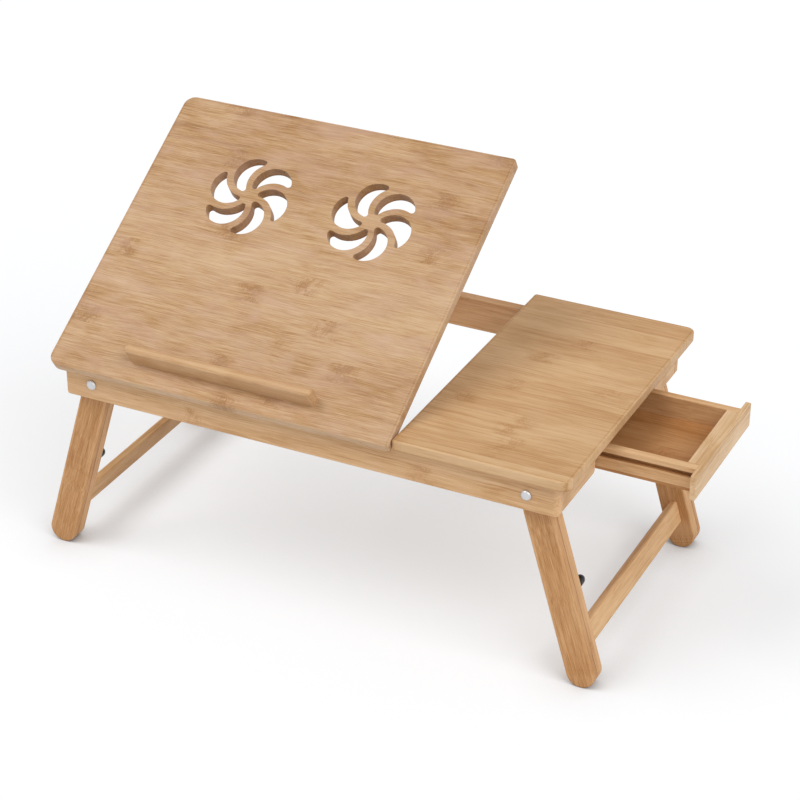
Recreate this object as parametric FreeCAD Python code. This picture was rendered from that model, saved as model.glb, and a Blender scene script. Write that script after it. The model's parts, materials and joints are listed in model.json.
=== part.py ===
import FreeCAD, Part
import math
import os

from FreeCAD import Vector

# Bamboo laptop stand: a fixed top with a drawer under it, a tilting top beside it, folding legs.
# Working frame: x along the stand (right +), y from front to rear, z up from the desk, all in mm,
# with x = y = 0 at the middle of the table frame. save() moves every piece to the part's own
# origin, which is the middle of its footprint on the desk.

# ---- driving dimensions -------------------------------------------------------------------
FRAME_LENGTH = 530.0          # over the ends of the two aprons
FRAME_DEPTH = 318.0           # over the outer faces of the two aprons
STOCK = 11.0                  # thickness of boards, aprons and rails
APRON_HEIGHT = 34.5
TOP_LEFT_OVERHANG = 10.4
TOP_RIGHT_OVERHANG = 13.0
TOP_FRONT_OVERHANG = 10.0     # and the same at the rear
TILT_TOP_RIGHT = 99.6         # right edge of the tilting top
TOP_GAP = 1.5                 # between the two tops
BOARD_EASE = 1.6              # rounding of the tops' edges
TILT_ANGLE = 31.75            # raised, as the stand is shown at rest
TILT_END_PLAY = 0.05          # degrees left above the frame when the top is down
HINGE_SETBACK = 2.4           # tilt axis in front of the front apron, level with its top

LEG_WIDTH = 29.4
LEG_REACH = 198.7             # pivot to the centre of the round foot
LEG_SPLAY = 16.5              # degrees out from vertical when open
LEG_OUTER_THICK = 7.2         # bar that turns on the pivot bolt
LEG_INNER_THICK = 12.6        # bar that slides along it
LEG_BAR_GAP = 0.2
LEG_STOP_GAP = 0.1            # open leg to the rail edge that stops it
PIVOT_RISE = 16.7             # pivot above the aprons' lower edge
BOLT_R = 3.0
NUT_WIDTH = 10.0              # across its flats
NUT_THICK = 4.5
RUNNING = 0.05                # radial clearance of a shaft in its hole
STUD_AT = 121.0               # clamp stud or lower guide pin, along the leg from the pivot
GUIDE_PIN_AT = 85.0
LEG_EXTENSION = 55.0
BRACE_AT = 171.8
BRACE_WIDTH = 24.5
BRACE_THICK = 9.0

DRAWER_OPEN = 97.2            # how far the drawer stands open at rest
DRAWER_LENGTH = 160.0         # box without its face
DRAWER_HALF = 63.3            # half the box's width
DRAWER_SIDE = 8.5             # thickness of its sides
DRAWER_OPENING_HALF = 67.0
FACE_THICK = 5.5
FACE_HALF = 78.5

STAY_REACH = 165.0            # tilt axis to the stay's pivot, along the tilting top
STAY_DROP = 8.0               # that pivot below the top's underside
STAY_PIN_REACH = 75.0         # tilt axis to the pin in the frame
STAY_PIN_DROP = 15.0
STAY_THICK = 3.0
STAY_HALF_WIDTH = 7.5

VENT_SLOTS = 6
VENT_HUBS = (-154.4, -16.6)   # x of the two hubs
VENT_SET = 233.0              # hubs from the tilting top's front edge

# ---- places worked out from them ----------------------------------------------------------
SPLAY = math.radians(LEG_SPLAY)
FOOT_R = LEG_WIDTH / 2
PIVOT_Z = FOOT_R + LEG_REACH * math.cos(SPLAY)
APRON_BOTTOM = PIVOT_Z - PIVOT_RISE
APRON_TOP = APRON_BOTTOM + APRON_HEIGHT
SURFACE = APRON_TOP + STOCK
HALF_LENGTH = FRAME_LENGTH / 2
HALF_DEPTH = FRAME_DEPTH / 2
RAIL_X = HALF_LENGTH - STOCK                  # inner face of the end rails
APRON_Y = HALF_DEPTH - STOCK                  # inner face of the aprons
TOP_HALF_DEPTH = HALF_DEPTH + TOP_FRONT_OVERHANG
TOP_LEFT = -HALF_LENGTH - TOP_LEFT_OVERHANG
TOP_RIGHT = HALF_LENGTH + TOP_RIGHT_OVERHANG
# an open leg's outer edge meets the lower inner edge of the end rail
PIVOT_X = RAIL_X - (FOOT_R + LEG_STOP_GAP + PIVOT_RISE * math.sin(SPLAY)) / math.cos(SPLAY)
HINGE_Y = -HALF_DEPTH - HINGE_SETBACK
FACE_X = HALF_LENGTH + DRAWER_OPEN            # back of the drawer's face
LEFT_REACH = PIVOT_X + LEG_REACH * math.sin(SPLAY) + FOOT_R
TILT = math.radians(TILT_ANGLE)
LIP_Y = HINGE_Y - (TOP_HALF_DEPTH + HINGE_Y) * math.cos(TILT) - STOCK * math.sin(TILT)
LIP_EASE = BOARD_EASE * (math.sin(TILT) + math.cos(TILT) - 1)
ORIGIN = Vector((FACE_X + FACE_THICK - LEFT_REACH) / 2, (TOP_HALF_DEPTH + LIP_Y + LIP_EASE) / 2, 0)

X, Y, Z = Vector(1, 0, 0), Vector(0, 1, 0), Vector(0, 0, 1)
ZERO = Vector(0, 0, 0)


# ---- helpers --------------------------------------------------------------------------------
def block(x0, x1, y0, y1, z0, z1):
    return Part.makeBox(x1 - x0, y1 - y0, z1 - z0, Vector(x0, y0, z0))


def rod(radius, start, end):
    """A cylinder from one point to another."""
    along = end - start
    return Part.makeCylinder(radius, along.Length, start, along)


def ring(outer, inner, start, end):
    return rod(outer, start, end).cut(rod(inner, start, end))


def fuse(first, *others):
    """One clean solid of several that touch or overlap."""
    return first.fuse(list(others)).removeSplitter() if others else first


def lump(shapes):
    """Separate like solids in one compound."""
    return Part.makeCompound(shapes)


def middle(edge):
    return edge.valueAt((edge.FirstParameter + edge.LastParameter) / 2)


def ease(shape, radius, wanted):
    """Round every edge whose middle point passes the test."""
    return shape.makeFillet(radius, [edge for edge in shape.Edges if wanted(middle(edge))])


def near(a, b, tolerance=0.01):
    return abs(a - b) < tolerance


def mirror_x(shape):
    return shape.mirror(ZERO, X)


def mirror_y(shape):
    return shape.mirror(ZERO, Y)


def raised(shape):
    """Turn a piece of the tilting top from lying down to its raised place."""
    return shape.rotated(Vector(0, HINGE_Y, APRON_TOP), X, TILT_ANGLE)


def turned(profile, start, axis):
    """A solid of revolution from (distance along the axis, radius) pairs."""
    along = Vector(axis).normalize()
    across = along.cross(Z if abs(along.z) < 0.5 else X).normalize()
    points = [start + along * d + across * r for d, r in profile]
    face = Part.Face(Part.makePolygon(points + points[:1]))
    return face.revolve(start, along, 360)


def board(x0, x1, y0, y1, z0, z1, corners):
    """A flat board with its own radius at each corner and eased edges above and below."""
    body = block(x0, x1, y0, y1, z0, z1)
    for (x, y), radius in corners.items():
        body = ease(body, radius, lambda p: near(p.x, x) and near(p.y, y))
    body = ease(body, BOARD_EASE, lambda p: near(p.z, z1))
    return ease(body, BOARD_EASE, lambda p: near(p.z, z0))


def save(name, shape):
    solids = shape.Solids
    if not solids or not all(solid.isValid() for solid in solids):
        raise ValueError(name + " has no valid solid")
    body = solids[0] if len(solids) == 1 else Part.makeCompound(solids)
    body.translated(ORIGIN * -1).exportStep("parts/" + name + ".step")


# ---- table frame ----------------------------------------------------------------------------
HINGE_XS = (-189.0, 21.0)
HINGE_HALF = 25.0
LEAF_THICK = 1.0
LEAF_REAR = -149.9
LEAF_DEPTH = 1.2
DOWEL_R = 3.0
DOWEL_HOLE_R = DOWEL_R + 0.02
DOWEL_IN_APRON = 6.5
DOWEL_IN_RAIL = 12.0
DOWEL_LEVELS = (9.0, 26.0)    # above the aprons' lower edge
CENTRE_RAIL = (-8.0, 3.0)     # its two faces, x


def hinge_mortises(z0, z1, y0):
    return [block(x - HINGE_HALF - 0.1, x + HINGE_HALF + 0.1, y0, LEAF_REAR, z0, z1) for x in HINGE_XS]


def dowel_places():
    """(x, level) of every dowel at the front; the rear has the same."""
    rails = (-HALF_LENGTH + STOCK / 2, sum(CENTRE_RAIL) / 2, HALF_LENGTH - STOCK / 2)
    return [(x, APRON_BOTTOM + level) for x in rails for level in DOWEL_LEVELS]


def dowels(radius, end_play):
    front = [rod(radius, Vector(x, -APRON_Y - DOWEL_IN_APRON - end_play, z),
                 Vector(x, -APRON_Y + DOWEL_IN_RAIL + end_play, z)) for x, z in dowel_places()]
    return front + [mirror_y(one) for one in front]


def plain_apron():
    """The front apron before its hinge mortises."""
    body = block(-HALF_LENGTH, HALF_LENGTH, -HALF_DEPTH, -APRON_Y, APRON_BOTTOM, APRON_TOP)
    body = ease(body, 5.0, lambda p: near(abs(p.x), HALF_LENGTH) and near(p.y, -HALF_DEPTH))
    body = ease(body, 1.5, lambda p: near(p.z, APRON_BOTTOM) and p.y < -APRON_Y - 0.1)
    for side in (-1, 1):
        pivot = Vector(side * PIVOT_X, -HALF_DEPTH - 1, PIVOT_Z)
        body = body.cut(rod(BOLT_R + RUNNING, pivot, pivot + Y * (STOCK + 2)))
    return body.cut(dowels(DOWEL_HOLE_R, 0.3))


def front_apron():
    return plain_apron().cut(hinge_mortises(APRON_TOP - LEAF_DEPTH, APRON_TOP + 1, -HALF_DEPTH - 1))


def rear_apron():
    return mirror_y(plain_apron())


def rail(x0, x1):
    body = block(x0, x1, -APRON_Y, APRON_Y, APRON_BOTTOM, APRON_TOP)
    return body.cut(dowels(DOWEL_HOLE_R, 0.3))


def left_end_rail():
    body = rail(-HALF_LENGTH, -RAIL_X)
    body = ease(body, 1.5, lambda p: near(p.x, -HALF_LENGTH) and near(p.z, APRON_BOTTOM))
    hole = rod(BOLT_R + RUNNING, stay_pin(-HALF_LENGTH - 1), stay_pin(-RAIL_X + 1))
    return body.cut(hole)


def right_front_block():
    """Short end rail beside the drawer, its lower inner corner rounded for the hand."""
    body = block(RAIL_X, HALF_LENGTH, -APRON_Y, -DRAWER_OPENING_HALF, APRON_BOTTOM, APRON_TOP)
    body = ease(body, 5.0, lambda p: near(p.y, -DRAWER_OPENING_HALF) and near(p.z, APRON_BOTTOM))
    body = ease(body, 1.5, lambda p: near(p.x, HALF_LENGTH) and p.z < APRON_TOP - 1)
    return body.cut(dowels(DOWEL_HOLE_R, 0.3))


def centre_rail():
    screw_hole = rod(GUIDE_SCREW_R + RUNNING, stay_pin(CENTRE_RAIL[0] - 1), stay_pin(GUIDE_SCREW_END + 0.3))
    return rail(*CENTRE_RAIL).cut(screw_hole)


def fixed_top():
    left = TILT_TOP_RIGHT + TOP_GAP
    corners = {(left, -TOP_HALF_DEPTH): 3, (left, TOP_HALF_DEPTH): 3,
               (TOP_RIGHT, -TOP_HALF_DEPTH): 10, (TOP_RIGHT, TOP_HALF_DEPTH): 10}
    return board(left, TOP_RIGHT, -TOP_HALF_DEPTH, TOP_HALF_DEPTH, APRON_TOP, SURFACE, corners)


def front_drawer_runner():
    """A hanging strip with the tongue that carries the drawer by the groove in its side."""
    outer = -DRAWER_OPENING_HALF - RUNNER_THICK
    strip = block(RUNNER_LEFT, RAIL_X, outer, -DRAWER_OPENING_HALF, level(GROOVE[0] - 4), APRON_TOP)
    tongue = block(RUNNER_LEFT, RAIL_X, -DRAWER_OPENING_HALF, -DRAWER_HALF + GROOVE_DEPTH - 0.5,
                   level(GROOVE[0] + 0.4), level(GROOVE[1] - 0.4))
    return fuse(strip, tongue)


# ---- legs (right front set, in place; the others are mirrored) ---------------------------------
OUTER_Y = -APRON_Y + 0.5                      # outer face of the turning bar
MEETING_Y = OUTER_Y + LEG_OUTER_THICK         # inner face of the turning bar
INNER_Y = MEETING_Y + LEG_BAR_GAP             # outer face of the sliding bar
INSIDE_Y = INNER_Y + LEG_INNER_THICK          # inner face of the sliding bar
STUD_R = 2.5
SLOT_R = 3.2
INSERT_R = 4.0
INSERT_DEPTH = 6.0
GUIDE_PIN_R = 3.0
GUIDE_PIN_DEPTH = 5.0
BAR_TOP_AT = 15.0
TENON_DEPTH = 6.0
KNOB_NECK = 0.2               # from the sliding bar to the knob's flange
STUD_IN_KNOB = 14.0


def splayed(shape):
    """Swing a leg piece, made hanging straight down from the origin, out to its open place."""
    open_leg = shape.rotated(ZERO, Y, -LEG_SPLAY)
    return open_leg.translated(Vector(PIVOT_X, 0, PIVOT_Z))


def on_leg(distance, y):
    return Vector(0, y, -distance)


def leg_bar(y0, y1, top_at):
    """A bar with a round foot; the turning bar has a round head too."""
    body = block(-FOOT_R, FOOT_R, y0, y1, -LEG_REACH, -top_at)
    body = fuse(body, rod(FOOT_R, on_leg(LEG_REACH, y0), on_leg(LEG_REACH, y1)))
    if top_at == 0:
        body = fuse(body, rod(FOOT_R, on_leg(0, y0), on_leg(0, y1)))
    return body


def peg(radius, distance, depth, inner_end):
    """A peg or hole let into the turning bar's inner face."""
    return rod(radius, on_leg(distance, MEETING_Y - depth), on_leg(distance, inner_end))


def turning_bar(clamped):
    """A front leg's clamp screws into a brass insert; a rear leg has a second guide pin there."""
    body = ease(leg_bar(OUTER_Y, MEETING_Y, 0), 1.5, lambda p: near(p.y, OUTER_Y))
    bolt_hole = rod(BOLT_R + RUNNING, on_leg(0, OUTER_Y - 1), on_leg(0, MEETING_Y + 1))
    upper_hole = peg(GUIDE_PIN_R, GUIDE_PIN_AT, GUIDE_PIN_DEPTH, MEETING_Y + 1)
    lower = (INSERT_R, INSERT_DEPTH) if clamped else (GUIDE_PIN_R, GUIDE_PIN_DEPTH)
    lower_hole = peg(lower[0], STUD_AT, lower[1], MEETING_Y + 1)
    return splayed(body.cut([bolt_hole, upper_hole, lower_hole]))


def front_sliding_bar():
    body = ease(leg_bar(INNER_Y, INSIDE_Y, BAR_TOP_AT), 1.5, lambda p: near(p.y, INSIDE_Y))
    slot_top = GUIDE_PIN_AT - LEG_EXTENSION
    slot = block(-SLOT_R, SLOT_R, INNER_Y - 1, INSIDE_Y + 1, -STUD_AT, -slot_top)
    ends = [rod(SLOT_R, on_leg(at, INNER_Y - 1), on_leg(at, INSIDE_Y + 1)) for at in (slot_top, STUD_AT)]
    mortise = brace_bar(BRACE_WIDTH - 5.9, BRACE_THICK - 2.9, TENON_DEPTH + 0.2)
    return splayed(body.cut([fuse(slot, *ends), mortise]))


def brace_bar(width, thick, into):
    """A bar across the stand at the brace's place, reaching into both sliding bars."""
    end = -INSIDE_Y + into
    return block(-thick / 2, thick / 2, -end, end, -BRACE_AT - width / 2, -BRACE_AT + width / 2)


def brace():
    rail_part = brace_bar(BRACE_WIDTH, BRACE_THICK, 0)
    rail_part = ease(rail_part, 2.5, lambda p: near(p.y, 0))
    return splayed(fuse(rail_part, brace_bar(BRACE_WIDTH - 6, BRACE_THICK - 3, TENON_DEPTH)))


def front_insert():
    return splayed(ring(INSERT_R, STUD_R + RUNNING, on_leg(STUD_AT, MEETING_Y - INSERT_DEPTH),
                        on_leg(STUD_AT, MEETING_Y)))


def guide_pin(distance):
    return splayed(peg(GUIDE_PIN_R, distance, GUIDE_PIN_DEPTH, INSIDE_Y - 1.5))


def front_clamp_stud():
    return splayed(peg(STUD_R, STUD_AT, INSERT_DEPTH - 0.5, INSIDE_Y + STUD_IN_KNOB))


def front_clamp_knob():
    """A mushroom thumb knob: flange on the bar, waist, and a domed head."""
    flange, waist, head = 5.1, 3.7, 5.1
    outline = [(KNOB_NECK, 0), (KNOB_NECK, flange), (2.4, flange), (4, waist), (15, waist), (18.5, head)]
    dome = [(24.6 + 5.2 * math.sin(a), head - 2.6 + 2.6 * math.cos(a)) for a in (0, 0.5, 1.0, math.pi / 2)]
    body = turned(outline + dome + [(30, 0)], on_leg(STUD_AT, INSIDE_Y), Y)
    return splayed(body.cut(rod(STUD_R, on_leg(STUD_AT, INSIDE_Y), on_leg(STUD_AT, INSIDE_Y + STUD_IN_KNOB))))


def front_pivot_bolt():
    """Dome-headed bolt through the apron and the turning bar."""
    dome = [(-3.1, 0), (-2.9, 2.2), (-2.3, 4.1), (-1.3, 5.1), (0, 5.2), (0, BOLT_R)]
    body = turned(dome + [(24.6, BOLT_R), (24.6, 0)], Vector(0, -HALF_DEPTH, 0), Y)
    return splayed(body)


def front_pivot_nut():
    seat = MEETING_Y + 0.1
    across = NUT_WIDTH / math.sqrt(3)
    corners = [Vector(across * math.cos(math.radians(a)), seat, across * math.sin(math.radians(a)))
               for a in range(0, 360, 60)]
    body = Part.Face(Part.makePolygon(corners + corners[:1])).extrude(Y * NUT_THICK)
    return splayed(body.cut(rod(BOLT_R, on_leg(0, seat - 1), on_leg(0, seat + NUT_THICK + 1))))


def front_pivot_washer():
    return splayed(ring(8, BOLT_R + RUNNING, Vector(0, -APRON_Y, 0), Vector(0, OUTER_Y - 0.1, 0)))


# ---- drawer -----------------------------------------------------------------------------------
GROOVE = (16.2, 21.9)         # its lower and upper face, above the aprons' lower edge
GROOVE_DEPTH = 5.0
BOX = (5.0, 27.5)             # lower and upper edge of the walls
BOTTOM_LOW = 2.0              # the bottom panel is nailed on under the walls
BACK_THICK = 8.0
RUNNER_THICK = 9.0
RUNNER_LEFT = 110.0           # left end of the runners, x
BOX_REAR = FACE_X - DRAWER_LENGTH


def level(height):
    return APRON_BOTTOM + height


def drawer_side_front():
    body = block(BOX_REAR, FACE_X, -DRAWER_HALF, -DRAWER_HALF + DRAWER_SIDE, level(BOX[0]), level(BOX[1]))
    body = ease(body, 0.8, lambda p: near(p.z, level(BOX[1])) and p.x < FACE_X - 1)
    return body.cut(block(BOX_REAR - 1, FACE_X + 1, -DRAWER_HALF - 1, -DRAWER_HALF + GROOVE_DEPTH,
                          level(GROOVE[0]), level(GROOVE[1])))


def drawer_wall(x0, x1, upper):
    half = DRAWER_HALF - DRAWER_SIDE
    return block(x0, x1, -half, half, level(BOX[0]), level(upper))


def drawer_bottom():
    return block(BOX_REAR, FACE_X, -DRAWER_HALF, DRAWER_HALF, level(BOTTOM_LOW), level(BOX[0]))


def drawer_face():
    """Thin face that overlaps the ends of the short rails when the drawer is shut."""
    body = block(FACE_X, FACE_X + FACE_THICK, -FACE_HALF, FACE_HALF, level(BOTTOM_LOW), level(BOX[1]))
    return ease(body, 1.2, lambda p: p.x > FACE_X + 1)


# ---- tilting top (made lying down, then raised) --------------------------------------------------
VENT_OUTER = (Vector(24.4, -7.2, 0), 20.8)    # bulging side of one slot, from the hub
VENT_INNER = (Vector(7.9, -24.1, 0), 26.2)    # hollow side
VENT_TIP_R = 3.0
LEDGE_LENGTH = 205.0
LEDGE_SET = 21.0              # from the front edge
LEDGE_DEPTH = 11.0
LEDGE_HEIGHT = 22.0
LEDGE_SCREW_PITCH = 80.0
SCREW_R = 1.75
SCREW_SUNK = 0.2              # head below the board's underside
SCREW_LENGTH = 24.0


def vent_slot():
    """One comma-shaped slot: a disc with a larger disc bitten out of it and its tips rounded."""
    low, high = Vector(0, 0, APRON_TOP - 1), Z * (STOCK + 2)
    disc, bite = [Part.makeCylinder(r, STOCK + 2, c + low) for c, r in (VENT_OUTER, VENT_INNER)]
    slot = disc.cut(bite)
    middle_z = APRON_TOP + STOCK / 2
    return ease(slot, VENT_TIP_R, lambda p: near(p.z, middle_z) and near(p.distanceToPoint(
        VENT_INNER[0] + Z * middle_z), VENT_INNER[1]) and near(p.distanceToPoint(
            VENT_OUTER[0] + Z * middle_z), VENT_OUTER[1]))


def vents():
    slot = vent_slot()
    around = [slot.rotated(ZERO, Z, i * 360 / VENT_SLOTS) for i in range(VENT_SLOTS)]
    return [one.translated(Vector(x, VENT_SET - TOP_HALF_DEPTH, 0)) for x in VENT_HUBS for one in around]


def tilting_top():
    corners = {(TOP_LEFT, -TOP_HALF_DEPTH): 12, (TOP_LEFT, TOP_HALF_DEPTH): 12,
               (TILT_TOP_RIGHT, -TOP_HALF_DEPTH): 3, (TILT_TOP_RIGHT, TOP_HALF_DEPTH): 5}
    body = board(TOP_LEFT, TILT_TOP_RIGHT, -TOP_HALF_DEPTH, TOP_HALF_DEPTH, APRON_TOP, SURFACE, corners)
    body = body.cut(vents())
    knuckle_room = [rod(KNUCKLE_R + 0.3, hinge_point(x - HINGE_HALF - 0.5), hinge_point(x + HINGE_HALF + 0.5))
                    for x in HINGE_XS]
    body = body.cut(hinge_mortises(APRON_TOP - 1, APRON_TOP + LEAF_DEPTH, HINGE_Y) + knuckle_room)
    return raised(body.cut(ledge_screws_lying(RUNNING)))


def ledge_middle():
    return (TOP_LEFT + TILT_TOP_RIGHT) / 2


def ledge_bar():
    """The stop that a laptop or book leans on, rounded over at the back."""
    front = -TOP_HALF_DEPTH + LEDGE_SET
    rear = front + LEDGE_DEPTH
    left, right = ledge_middle() - LEDGE_LENGTH / 2, ledge_middle() + LEDGE_LENGTH / 2
    top = SURFACE + LEDGE_HEIGHT
    body = block(left, right, front, rear, SURFACE, top)
    body = ease(body, 5.0, lambda p: near(p.y, front) and near(p.z, SURFACE + LEDGE_HEIGHT / 2))
    body = ease(body, 7.0, lambda p: near(p.y, rear) and near(p.z, top))
    body = ease(body, 3.5, lambda p: near(p.z, top))
    return raised(body.cut(ledge_screws_lying(RUNNING)))


def ledge_screws_lying(play):
    """Countersunk screws that come up through the board into the ledge, or with play their holes."""
    head = 2 * SCREW_R
    outline = [(SCREW_SUNK, 0), (SCREW_SUNK, head), (SCREW_SUNK + head - SCREW_R, SCREW_R),
               (SCREW_LENGTH - SCREW_R, SCREW_R), (SCREW_LENGTH, 0)]
    if play:
        mouth = head + play + SCREW_SUNK
        outline = [(-1, 0), (-1, mouth + 1), (mouth - SCREW_R - play, SCREW_R + play),
                   (SCREW_LENGTH, SCREW_R + play), (SCREW_LENGTH + SCREW_R, 0)]
    foot_y = -TOP_HALF_DEPTH + LEDGE_SET + LEDGE_DEPTH / 2
    feet = [Vector(ledge_middle() + i * LEDGE_SCREW_PITCH, foot_y, APRON_TOP) for i in (-1, 0, 1)]
    return [turned(outline, foot, Z) for foot in feet]


def ledge_screws():
    return raised(lump(ledge_screws_lying(0)))


# ---- tilt hinges ------------------------------------------------------------------------------
KNUCKLE_R = 2.1
PIN_R = 1.0
KNUCKLE_SPLIT = 9.0           # half the length of the middle knuckle


def hinge_point(x):
    return Vector(x, HINGE_Y, APRON_TOP)


def hinge_leaf(x, spans, others, z0):
    """A leaf with its knuckles over some spans of the pin, and room for the other leaf's."""
    plate = block(x - HINGE_HALF, x + HINGE_HALF, HINGE_Y, LEAF_REAR - 0.1, z0, z0 + LEAF_THICK)
    room = [rod(KNUCKLE_R + 0.3, hinge_point(x + a - 0.2), hinge_point(x + b + 0.2)) for a, b in others]
    knuckles = [rod(KNUCKLE_R, hinge_point(x + a), hinge_point(x + b)) for a, b in spans]
    body = fuse(plate.cut(room), *knuckles)
    return body.cut(rod(PIN_R + RUNNING, hinge_point(x - HINGE_HALF - 1), hinge_point(x + HINGE_HALF + 1)))


ENDS = ((-HINGE_HALF, -KNUCKLE_SPLIT - 0.2), (KNUCKLE_SPLIT + 0.2, HINGE_HALF))
MIDDLE = ((-KNUCKLE_SPLIT, KNUCKLE_SPLIT),)


def hinge_lower_leaves():
    return lump([hinge_leaf(x, ENDS, MIDDLE, APRON_TOP - 0.1 - LEAF_THICK) for x in HINGE_XS])


def hinge_upper_leaves():
    return raised(lump([hinge_leaf(x, MIDDLE, ENDS, APRON_TOP + 0.1) for x in HINGE_XS]))


def hinge_pins():
    return lump([rod(PIN_R, hinge_point(x - HINGE_HALF), hinge_point(x + HINGE_HALF)) for x in HINGE_XS])


# ---- stays: slotted arms that hold the tilting top up ---------------------------------------------
GUIDE_SCREW_R = 2.4
GUIDE_SCREW_END = -2.0
SPACER = 1.0                  # thickness of the washers that keep the arms off the rails
ARM_FACES = {"left": (-RAIL_X + SPACER + 0.2, -RAIL_X + SPACER + 0.2 + STAY_THICK),
             "right": (CENTRE_RAIL[0] - SPACER - 0.2 - STAY_THICK, CENTRE_RAIL[0] - SPACER - 0.2)}
PATH_POINTS = 9
STAY_SLOT_R = BOLT_R + 0.15


def stay_pin(x):
    """The pin or bolt in the frame that a stay slides on."""
    return Vector(x, HINGE_Y + STAY_PIN_REACH, APRON_TOP - STAY_PIN_DROP)


def stay_pivot(tilt, x=0):
    """The stay's pivot under the tilting top, with the top at an angle."""
    reach_y = STAY_REACH * math.cos(tilt) + STAY_DROP * math.sin(tilt)
    reach_z = STAY_REACH * math.sin(tilt) - STAY_DROP * math.cos(tilt)
    return Vector(x, HINGE_Y + reach_y, APRON_TOP + reach_z)


def stay_bearing(tilt):
    """Direction from the pivot to the pin, as an angle about x from +y, between pi and 3/2 pi."""
    to_pin = stay_pin(0) - stay_pivot(tilt)
    return math.atan2(to_pin.z, to_pin.y) % (2 * math.pi)


def stay_ratio():
    """Turn of a stay on the tilting top for each degree that the top turns."""
    end = math.radians(TILT_END_PLAY)
    return (stay_bearing(TILT) - stay_bearing(end)) / (TILT - end) - 1


def stay_path():
    """The pin's path in the arm's own frame, from top down to top raised."""
    path = []
    end = math.radians(TILT_END_PLAY)
    for i in range(PATH_POINTS):
        tilt = end + (TILT - end) * i / (PATH_POINTS - 1)
        bearing = stay_bearing(TILT) + (stay_ratio() + 1) * (tilt - TILT)
        to_pin = stay_pin(0) - stay_pivot(tilt)
        along = to_pin.y * math.cos(bearing) + to_pin.z * math.sin(bearing)
        across = to_pin.z * math.cos(bearing) - to_pin.y * math.sin(bearing)
        path.append(Vector(0, along, across))
    return path


def band(path, half_width):
    """A flat strip of one width that follows a path, with round ends."""
    sides = [[], []]
    for i, point in enumerate(path):
        run = path[min(i + 1, len(path) - 1)] - path[max(i - 1, 0)]
        normal = X.cross(run).normalize() * half_width
        sides[0].append(point + normal)
        sides[1].append(point - normal)
    first = (path[0] - path[1]).normalize() * half_width + path[0]
    last = (path[-1] - path[-2]).normalize() * half_width + path[-1]
    edges = []
    for side in sides:
        curve = Part.BSplineCurve()
        curve.interpolate(side)
        edges.append(curve.toShape())
    edges.insert(1, Part.Arc(sides[0][-1], last, sides[1][-1]).toShape())
    edges.append(Part.Arc(sides[1][0], first, sides[0][0]).toShape())
    return Part.Face(Part.Wire(Part.__sortEdges__(edges)))


def stay_arm(side):
    """Arm with a curved slot that the frame's pin follows exactly as the top tilts."""
    x0, x1 = ARM_FACES[side]
    path = stay_path()
    thick = X * (x1 - x0)
    stem = block(0, x1 - x0, 0, path[0].y, -STAY_HALF_WIDTH, STAY_HALF_WIDTH)
    eye = rod(STAY_HALF_WIDTH, ZERO, thick)
    body = fuse(stem, eye, band(path, STAY_HALF_WIDTH).extrude(thick))
    body = body.cut(band(path, STAY_SLOT_R).extrude(thick * 3).translated(thick * -1))
    body = body.cut(rod(RIVET_R + RUNNING, thick * -1, thick * 2))
    body = body.rotated(ZERO, X, math.degrees(stay_bearing(TILT)))
    return body.translated(stay_pivot(TILT, x0))


RIVET_R = 2.0
BRACKET_THICK = 1.5
BRACKET_HALF = 12.0
BRACKET_FOOT = 17.0


def bracket_ear(side):
    """The x faces of a bracket's ear, just inside the arm, and the way its foot points."""
    if side == "left":
        return ARM_FACES[side][1] + 0.2, ARM_FACES[side][1] + 0.2 + BRACKET_THICK, 1
    return ARM_FACES[side][0] - 0.2 - BRACKET_THICK, ARM_FACES[side][0] - 0.2, -1


def stay_bracket(side):
    x0, x1, way = bracket_ear(side)
    pivot = stay_pivot(0)
    foot_x = (x0, x0 + BRACKET_FOOT) if way > 0 else (x1 - BRACKET_FOOT, x1)
    foot = block(*foot_x, pivot.y - BRACKET_HALF, pivot.y + BRACKET_HALF,
                 APRON_TOP - BRACKET_THICK, APRON_TOP)
    ear = block(x0, x1, pivot.y - 5, pivot.y + 5, pivot.z, APRON_TOP)
    eye = rod(5, Vector(x0, pivot.y, pivot.z), Vector(x1, pivot.y, pivot.z))
    hole = rod(RIVET_R, Vector(x0 - 1, pivot.y, pivot.z), Vector(x1 + 1, pivot.y, pivot.z))
    return fuse(foot, ear, eye).cut(hole)


def stay_brackets():
    return raised(lump([stay_bracket(side) for side in ("left", "right")]))


def stay_rivets():
    shapes = []
    for side in ("left", "right"):
        faces = sorted(ARM_FACES[side] + bracket_ear(side)[:2])
        start = Vector(faces[0] - 0.8, stay_pivot(0).y, stay_pivot(0).z)
        span = faces[-1] - faces[0] + 1.6
        head, play = 3.5, 0.1
        ends = (0.8 - play, span - 0.8) if side == "left" else (0.8, span - 0.8 + play)
        profile = [(0.1, 0), (0.1, head), (ends[0], head), (ends[0], RIVET_R), (ends[1], RIVET_R),
                   (ends[1], head), (span - 0.1, head), (span - 0.1, 0)]
        shapes.append(turned(profile, start, X))
    return raised(lump(shapes))


def stay_clamp_bolt():
    """Mushroom-headed bolt from inside, through the left arm's slot and the end rail."""
    head_x = ARM_FACES["left"][1] + 0.2
    length = head_x + HALF_LENGTH + 13
    return turned([(-2.2, 0), (-1.9, 3), (-1.1, 5), (0, 6), (0, BOLT_R), (length, BOLT_R), (length, 0)],
                  stay_pin(head_x), X * -1)


def stay_guide_screw():
    head_x = ARM_FACES["right"][0] - 0.2
    shoulder = CENTRE_RAIL[0] - 0.1 - head_x
    length = GUIDE_SCREW_END - head_x
    profile = [(-2.6, 0), (-2.2, 3), (-1.3, 5), (0, 6), (0, BOLT_R), (shoulder, BOLT_R),
               (shoulder, GUIDE_SCREW_R), (length - 2, GUIDE_SCREW_R), (length, 0)]
    return turned(profile, stay_pin(head_x), X)


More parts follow.
